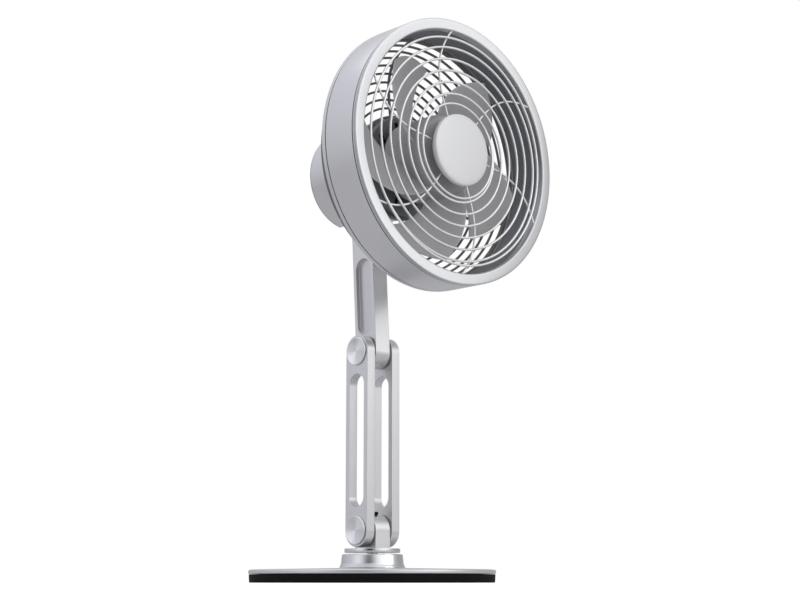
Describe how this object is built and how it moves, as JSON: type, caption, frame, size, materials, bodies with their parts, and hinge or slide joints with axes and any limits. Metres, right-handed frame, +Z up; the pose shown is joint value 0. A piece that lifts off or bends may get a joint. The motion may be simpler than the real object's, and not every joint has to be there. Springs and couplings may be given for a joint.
{
  "type": "desk fan",
  "caption": "Compact desk fan: a drum-shaped head with a spiral wire grille on a two-part folding arm over a round weighted base.",
  "frame": {"origin": "centre of the flat underside of the round base, on the surface it stands on", "axes": "+Z up; the fan blows towards -Y; the arm hinges turn about X, parallel to the base"},
  "size_m": [0.2062, 0.1983, 0.4259],
  "materials": {
    "black_rubber": "matte",
    "brushed_aluminium": "satin",
    "spun_aluminium": "polished",
    "satin_aluminium": "satin",
    "silver_shell": "satin",
    "bright_wire": "satin",
    "dark_plastic": "matte",
    "silver_cap": "satin",
    "blade_plastic": "matte",
    "steel": "satin",
    "cast_iron": "matte",
    "zinc_steel": "satin",
    "brass": "satin",
    "copper": "satin",
    "nylon": "matte",
    "cell_wrap": "satin",
    "board_green": "matte"
  },
  "bodies": {
    "base": {"base_pad": "black_rubber", "base_weight": "cast_iron", "base_plate": "brushed_aluminium", "base_screw_1": "zinc_steel", "base_screw_2": "zinc_steel", "base_screw_3": "zinc_steel", "base_collar": "spun_aluminium", "swivel_bushing": "nylon", "thrust_washer": "steel"},
    "turntable": {"turntable": "spun_aluminium", "swivel_bolt": "zinc_steel", "fold_bumper": "black_rubber"},
    "lower_arm": {"left_link": "satin_aluminium", "right_link": "satin_aluminium", "lower_pin": "steel", "lower_pin_cap_left": "spun_aluminium", "lower_pin_cap_right": "spun_aluminium", "lower_washer_left": "nylon", "lower_washer_right": "nylon", "elbow_pin": "steel", "elbow_pin_cap_left": "spun_aluminium", "elbow_pin_cap_right": "spun_aluminium", "elbow_washer_left": "nylon", "elbow_washer_right": "nylon"},
    "upper_arm": {"upper_arm": "satin_aluminium"},
    "head": {"tilt_pin": "steel", "tilt_bracket": "zinc_steel", "tilt_washer_left": "nylon", "tilt_washer_right": "nylon", "bracket_screw_1": "zinc_steel", "bracket_screw_2": "zinc_steel", "front_bezel": "satin_aluminium", "shroud": "silver_shell", "duct_ring": "dark_plastic", "rear_ring": "silver_shell", "rear_guard": "dark_plastic", "front_grille": "bright_wire", "hub_cap": "silver_cap", "drum_screw_1": "zinc_steel", "drum_screw_2": "zinc_steel", "drum_screw_3": "zinc_steel", "drum_screw_4": "zinc_steel", "motor_housing": "silver_shell", "rear_cap": "silver_shell", "bulkhead": "dark_plastic", "motor_cover": "dark_plastic", "motor_can": "steel", "motor_bell": "dark_plastic", "front_bearing": "brass", "rear_bearing": "brass", "battery_cell_left": "cell_wrap", "battery_cell_right": "cell_wrap", "control_board": "board_green", "charge_socket": "zinc_steel", "button_spring": "steel"},
    "impeller": {"motor_shaft": "steel", "motor_rotor": "copper", "impeller": "blade_plastic", "impeller_nut": "dark_plastic"},
    "power_button": {"power_button": "dark_plastic"}
  },
  "joints": [
    {"name": "turntable_swivel", "type": "hinge", "parent": "base", "child": "turntable", "pos_m": [0, 0, 0.0226], "axis": [0, 0, 1], "range_deg": [-90, 90]},
    {"name": "lower_arm_hinge", "type": "hinge", "parent": "turntable", "child": "lower_arm", "pos_m": [0, 0, 0.0395], "axis": [1, 0, 0], "range_deg": [-30, 60]},
    {"name": "elbow_hinge", "type": "hinge", "parent": "lower_arm", "child": "upper_arm", "pos_m": [0, 0, 0.1779], "axis": [-1, 0, 0], "range_deg": [-45, 90]},
    {"name": "head_tilt", "type": "hinge", "parent": "upper_arm", "child": "head", "pos_m": [0, 0.0073, 0.3], "axis": [-1, 0, 0], "range_deg": [-20, 60]},
    {"name": "impeller_spin", "type": "hinge", "parent": "head", "child": "impeller", "pos_m": [0, -0.0975, 0.3228], "axis": [0, -1, 0], "continuous": true},
    {"name": "button_press", "type": "slide", "parent": "head", "child": "power_button", "axis": [0, -1, 0], "range_m": [0, 0.0008], "stiffness_N_per_m": 1500}
  ]
}
